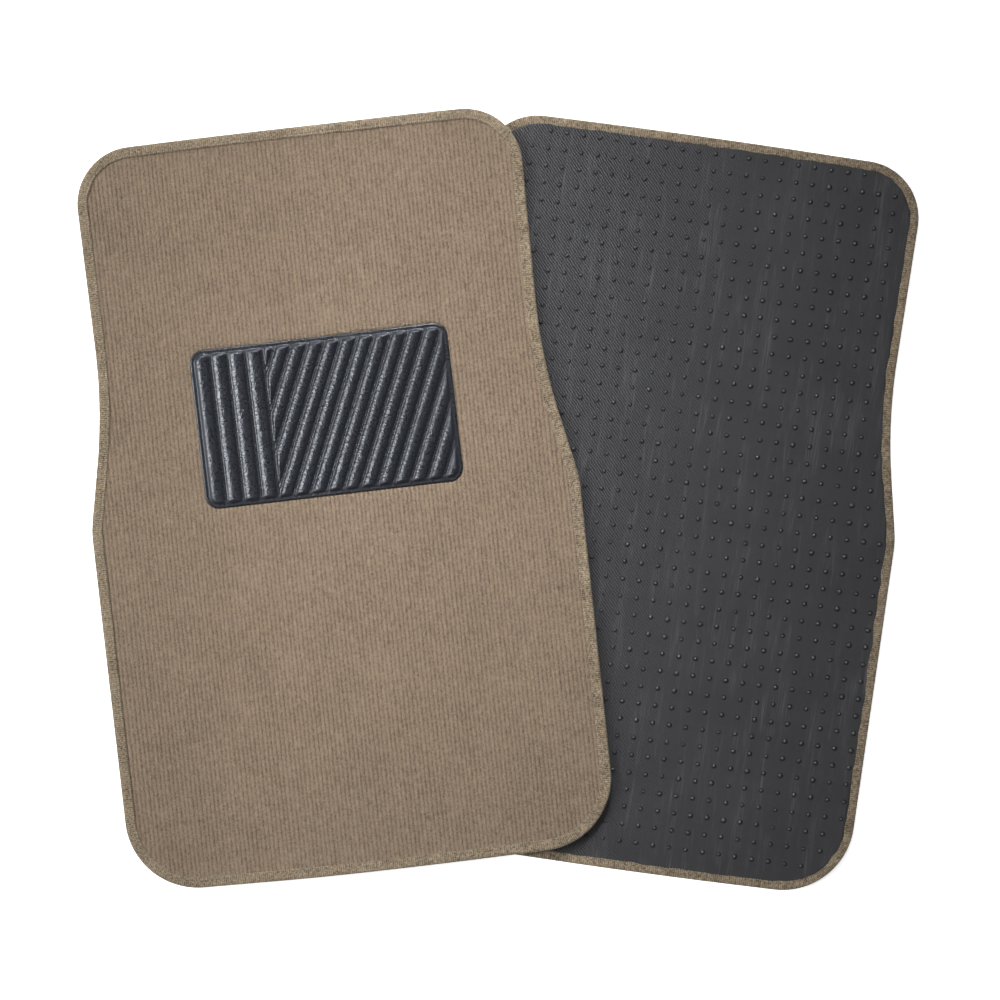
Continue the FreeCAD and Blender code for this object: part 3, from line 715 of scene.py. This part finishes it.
def rubber_material(mat):
    """Charcoal rubber with a fine emboss of crossed lines, painted highlights on the lines and painted
    shade between them, scuffed along the mat, and nibs with painted shade at their roots and a painted
    highlight and scuffing on their tips.
    """
    material, tree, shader = new_material(f"{mat.body}_rubber", 0.5, specular_ior_level=0.45)
    space = mat_space(tree, mat)
    x, y, _ = node(tree, "ShaderNodeSeparateXYZ", {0: space}).outputs
    angle, turns_per_mm = math.radians(41.7), 2 * math.pi / 2.2
    wobble = math_node(tree, "MULTIPLY", noise(tree, space, 0.3, 2.0, 0.6), 7.0)
    across = math_node(tree, "MULTIPLY_ADD", x, math.cos(angle) * turns_per_mm, wobble)
    slopes = [side * math.sin(angle) * turns_per_mm for side in (-1, 1)]
    lines = [
        math_node(tree, "SINE", math_node(tree, "MULTIPLY_ADD", y, slope, across)) for slope in slopes
    ]
    emboss = math_node(tree, "MULTIPLY_ADD", lines[0], 0.22, lines[1])
    # The lower mat's emboss, its relief with its painted highlights and painted shade, is strong on the
    # upper mat's side, mostly at the front, and faint on the other.
    emboss_painted_light_and_relief = math_node(tree, "MULTIPLY_ADD", ramp(tree, y, -300.0, 300.0), 0.4, 0.6)
    emboss_painted_light_and_relief = math_node(tree, "MULTIPLY", ramp(tree, x, 215.0, 75.0), emboss_painted_light_and_relief)
    streaks = noise(tree, mat_space(tree, mat, (0.13, 0.014, 1)), 1.0, 4.0, 0.65)
    scratches = noise(tree, mat_space(tree, mat, (1.0, 0.035, 1)), 1.0, 2.0, 0.5)
    grime = ramp(tree, noise(tree, space, 0.015, 4.0, 0.6), 0.3, 0.7)
    grain = ramp(tree, noise(tree, space, 0.8, 2.0, 0.6), 0.3, 0.7)
    rub = math_node(tree, "MULTIPLY", ramp(tree, streaks, 0.5, 0.75), ramp(tree, scratches, 0.42, 0.66))
    # A light grey for scuffs, and for the nibs' painted highlights.
    scuff_and_highlight = (0.10, 0.10, 0.105, 1)
    base = mix(tree, grime, (0.025, 0.025, 0.027, 1), (0.033, 0.033, 0.0355, 1))
    # Painted shade between the emboss lines, deepest where the emboss is strong.
    base = mix(tree, emboss_painted_light_and_relief, base, (0.004, 0.004, 0.005, 1))
    shown = math_node(tree, "MULTIPLY_ADD", emboss_painted_light_and_relief, 0.96, 0.04)
    # Painted highlights on the emboss lines.
    line = math_node(tree, "MULTIPLY", ramp(tree, emboss, 0.1, 1.1), shown)
    base = mix(tree, line, base, (0.12, 0.12, 0.13, 1))
    base = mix(tree, math_node(tree, "MULTIPLY", grain, 0.34), base, (0.045, 0.045, 0.048, 1))
    base = mix(tree, math_node(tree, "MULTIPLY", rub, 0.8), base, scuff_and_highlight)
    # A nib's value goes from -1 at its root, darkened as painted shade, to 1 at its tip, lightened as
    # painted highlight and scuffing.
    tip = ramp(tree, value_at_points(tree, "nib"), 0.0, 1.0)
    root = ramp(tree, value_at_points(tree, "nib"), 0.0, -1.0)
    # Painted highlight and scuffing on the nibs' tips.
    base = mix(tree, math_node(tree, "MULTIPLY", tip, 0.3), base, scuff_and_highlight)
    # Painted shade round the nibs' roots.
    base = mix(tree, math_node(tree, "MULTIPLY", root, 0.8), base, (0.003, 0.003, 0.003, 1))
    tree.links.new(base, shader.inputs["Base Color"])
    matt = math_node(tree, "MULTIPLY_ADD", tip, 0.07, 0.33)
    matt = math_node(tree, "MULTIPLY_ADD", grain, 0.08, matt)
    tree.links.new(matt, shader.inputs["Roughness"])
    height = math_node(tree, "MULTIPLY_ADD", emboss, shown, math_node(tree, "MULTIPLY", grain, 0.6))
    bump(tree, shader, height, 0.04)
    return material


def vinyl_material(mat):
    """Black grained vinyl, with a painted highlight speckled in grey on the ribs' crowns, and duller along
    the welded rim.
    """
    material, tree, shader = new_material(
        f"{mat.body}_vinyl", 0.4, specular_ior_level=0.75, specular_tint=(0.88, 0.93, 1, 1)
    )
    space = mat_space(tree, mat)
    grain = ramp(tree, noise(tree, space, 0.62, 0.0, 0.5), 0.3, 0.7)
    # Painted highlight: the grain speckles grey on the ribs' crowns.
    scuff_and_highlight = math_node(tree, "MULTIPLY", value_at_points(tree, "crown"), grain)
    colour = mix(tree, scuff_and_highlight, (0.0035, 0.004, 0.007, 1), (0.010, 0.011, 0.017, 1))
    tree.links.new(colour, shader.inputs["Base Color"])
    dull = math_node(tree, "MULTIPLY_ADD", value_at_points(tree, "weld"), 0.3, 0.27)
    matt = math_node(tree, "MULTIPLY_ADD", grain, 0.12, dull)
    tree.links.new(matt, shader.inputs["Roughness"])
    bump(tree, shader, grain, 0.12)
    return material


def foam_material():
    """Open-cell foam."""
    material, tree, shader = new_material("pad_foam", 0.95)
    where = node(tree, "ShaderNodeTexCoord").outputs["Object"]
    cells = node(tree, "ShaderNodeTexVoronoi", {"Vector": where, "Scale": 1500.0}).outputs["Distance"]
    colour = mix(tree, cells, (0.04, 0.04, 0.042, 1), (0.10, 0.10, 0.105, 1))
    tree.links.new(colour, shader.inputs["Base Color"])
    bump(tree, shader, cells, 0.3)
    return material


def scrim_material(mat):
    """Woven primary backing of flat slit-film yarn."""
    material, tree, shader = new_material(f"{mat.body}_scrim", 0.6)
    axes = node(tree, "ShaderNodeSeparateXYZ", {0: mat_space(tree, mat)}).outputs
    turns_per_mm = 2 * math.pi / 1.6
    threads = [
        math_node(tree, "SINE", math_node(tree, "MULTIPLY", axes[k], turns_per_mm)) for k in range(2)
    ]
    weave = math_node(tree, "MULTIPLY", *threads)
    colour = mix(tree, ramp(tree, weave, -1.0, 1.0), (0.20, 0.18, 0.15, 1), (0.42, 0.39, 0.34, 1))
    tree.links.new(colour, shader.inputs["Base Color"])
    bump(tree, shader, weave, 0.15)
    return material


# --- the object -----------------------------------------------------------------------------


def flat_area(mat):
    """The carpet's flat area in square metres, as the outline drawn in to where the pile ends."""
    inset, strip = 2.5, 0.5
    y = np.arange(-345, 345, strip)
    return float(half_widths(mat, inset, y).sum() * 2 * strip * MM * MM)


def make_mat(mat, thread, foam, seed):
    """All of a mat's pieces, which lie with its carpet."""
    carpet = make_carpet(mat, carpet_material(mat), seed)
    tape = make_tape(mat, tape_material(mat), seed + 1)
    needle = make_stitches(mat, thread, True, seed + 2)
    bobbin = make_stitches(mat, thread, False, seed + 3)
    backing = make_backing(mat, rubber_material(mat), seed + 4)
    make_pad(mat, vinyl_material(mat), foam, seed + 5)
    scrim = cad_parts[f"{mat.body}_primary_backing"]
    scrim.data.materials.clear()
    scrim.data.materials.append(scrim_material(mat))
    flat_area(mat)


# --- the studio -----------------------------------------------------------------------------


def make_camera():
    """Straight above the mats, and far enough off to show little perspective."""
    data = bpy.data.cameras.new("camera")
    data.lens = 100
    data.sensor_width = 36
    camera = bpy.data.objects.new("camera", data)
    shown_width, middle = 916.5, 1.8
    distance = shown_width * data.lens / data.sensor_width + MAT_TOP
    camera.location = (middle * MM, 0, distance * MM)
    bpy.context.scene.collection.objects.link(camera)
    bpy.context.scene.camera = camera


def add_softbox(name, place, aim, side, power, spread=180):
    """A square soft light that faces a spot on the floor. A grid on it can narrow its spread."""
    light = bpy.data.lights.new(name, "AREA")
    light.size = side
    light.energy = power
    light.spread = math.radians(spread)
    softbox = bpy.data.objects.new(name, light)
    softbox.location = place
    softbox.rotation_euler = (Vector((*aim, 0)) - softbox.location).to_track_quat("-Z", "Y").to_euler()
    bpy.context.scene.collection.objects.link(softbox)


def make_stage():
    """A glowing white floor, a dim surround, and softboxes beyond the top and the left."""
    mesh = bpy.data.meshes.new("floor")
    reach, level = 6, -0.0002
    corners = [(-reach, -reach), (reach, -reach), (reach, reach), (-reach, reach)]
    mesh.from_pydata([(x, y, level) for x, y in corners], [], [(0, 1, 2, 3)])
    floor = bpy.data.objects.new("floor", mesh)
    material, _, shader = new_material("floor_white", 0.9)
    shader.inputs["Base Color"].default_value = (0.93, 0.93, 0.93, 1)
    shader.inputs["Emission Color"].default_value = (1, 1, 1, 1)
    shader.inputs["Emission Strength"].default_value = 0.7
    mesh.materials.append(material)
    bpy.context.scene.collection.objects.link(floor)
    world = bpy.data.worlds.new("studio")
    world.use_nodes = True
    sky = world.node_tree.nodes["Background"]
    sky.inputs["Color"].default_value = (1, 1, 1, 1)
    sky.inputs["Strength"].default_value = 0.24
    bpy.context.scene.world = world
    add_softbox("top", (-0.05, 1.38, 1.18), (-0.08, 0), 0.6, 2.15, spread=29)
    add_softbox("side", (-2.7, 0.15, 2.4), (0, 0), 1.5, 106)
    bpy.context.scene.view_settings.view_transform = "Standard"


make_camera()
make_stage()
sewing_thread = thread_material()
pad_foam = foam_material()
make_mat(LOWER, sewing_thread, pad_foam, 10)
make_mat(UPPER, sewing_thread, pad_foam, 20)

bpy.context.view_layer.update()
